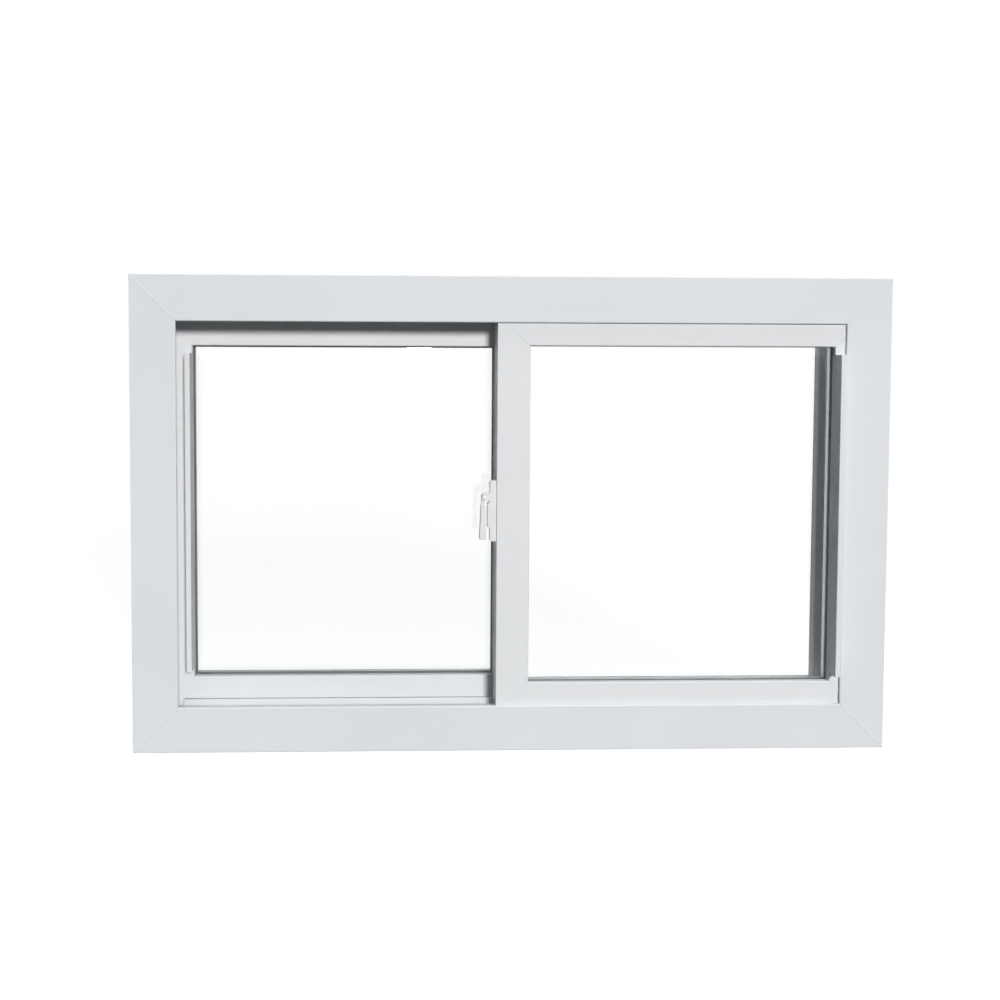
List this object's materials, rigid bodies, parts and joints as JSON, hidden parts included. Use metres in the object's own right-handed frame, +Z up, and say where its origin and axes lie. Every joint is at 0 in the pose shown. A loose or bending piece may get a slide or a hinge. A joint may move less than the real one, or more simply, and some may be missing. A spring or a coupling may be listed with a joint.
{
  "type": "horizontal sliding window",
  "caption": "White vinyl sliding window with mitred hollow frame, double-glazed sashes on track ribs, one fixed and one that slides, finger pulls and a side latch.",
  "frame": {"origin": "middle of the sill's underside", "axes": "+X along the window to the right seen from indoors, +Y from the indoor face to the outdoor face, +Z up"},
  "size_m": [0.806, 0.1125, 0.505],
  "materials": {
    "frame_vinyl": "satin extruded vinyl",
    "sash_vinyl": "satin extruded vinyl",
    "bead_vinyl": "satin extruded vinyl",
    "glass": "clear float",
    "spacer": "mill",
    "glide": "moulded",
    "pile": "woven pile",
    "latch": "moulded",
    "pin": "plain"
  },
  "bodies": {
    "frame": {"frame_head": "frame_vinyl", "frame_sill": "frame_vinyl", "frame_left_jamb": "frame_vinyl", "frame_right_jamb": "frame_vinyl", "right_sash_top_rail": "sash_vinyl", "right_sash_bottom_rail": "sash_vinyl", "right_sash_outer_stile": "sash_vinyl", "right_sash_meeting_stile": "sash_vinyl", "right_sash_bead_top": "bead_vinyl", "right_sash_bead_bottom": "bead_vinyl", "right_sash_bead_left": "bead_vinyl", "right_sash_bead_right": "bead_vinyl", "right_sash_inner_pane": "glass", "right_sash_outer_pane": "glass", "right_sash_spacer": "spacer", "right_sash_glides": "glide", "right_sash_pile_seal": "pile", "sill_track_cover": "frame_vinyl", "latch_base": "latch", "latch_pin": "pin"},
    "left_sash": {"left_sash_top_rail": "sash_vinyl", "left_sash_bottom_rail": "sash_vinyl", "left_sash_outer_stile": "sash_vinyl", "left_sash_meeting_stile": "sash_vinyl", "left_sash_bead_top": "bead_vinyl", "left_sash_bead_bottom": "bead_vinyl", "left_sash_bead_left": "bead_vinyl", "left_sash_bead_right": "bead_vinyl", "left_sash_inner_pane": "glass", "left_sash_outer_pane": "glass", "left_sash_spacer": "spacer", "left_sash_glides": "glide", "left_sash_pile_seal": "pile", "latch_keeper": "latch"},
    "latch_lever": {"latch_lever": "latch"}
  },
  "joints": [
    {"name": "left_sash_slide", "type": "slide", "parent": "frame", "child": "left_sash", "axis": [1, 0, 0], "range_m": [0, 0.32]},
    {"name": "latch_lever_swing", "type": "hinge", "parent": "frame", "child": "latch_lever", "pos_m": [-0.0295, -0.037, 0.272], "axis": [0, 1, 0], "range_deg": [0, 25], "stiffness_Nm_per_rad": 0.02, "springref_deg": -11.46}
  ]
}
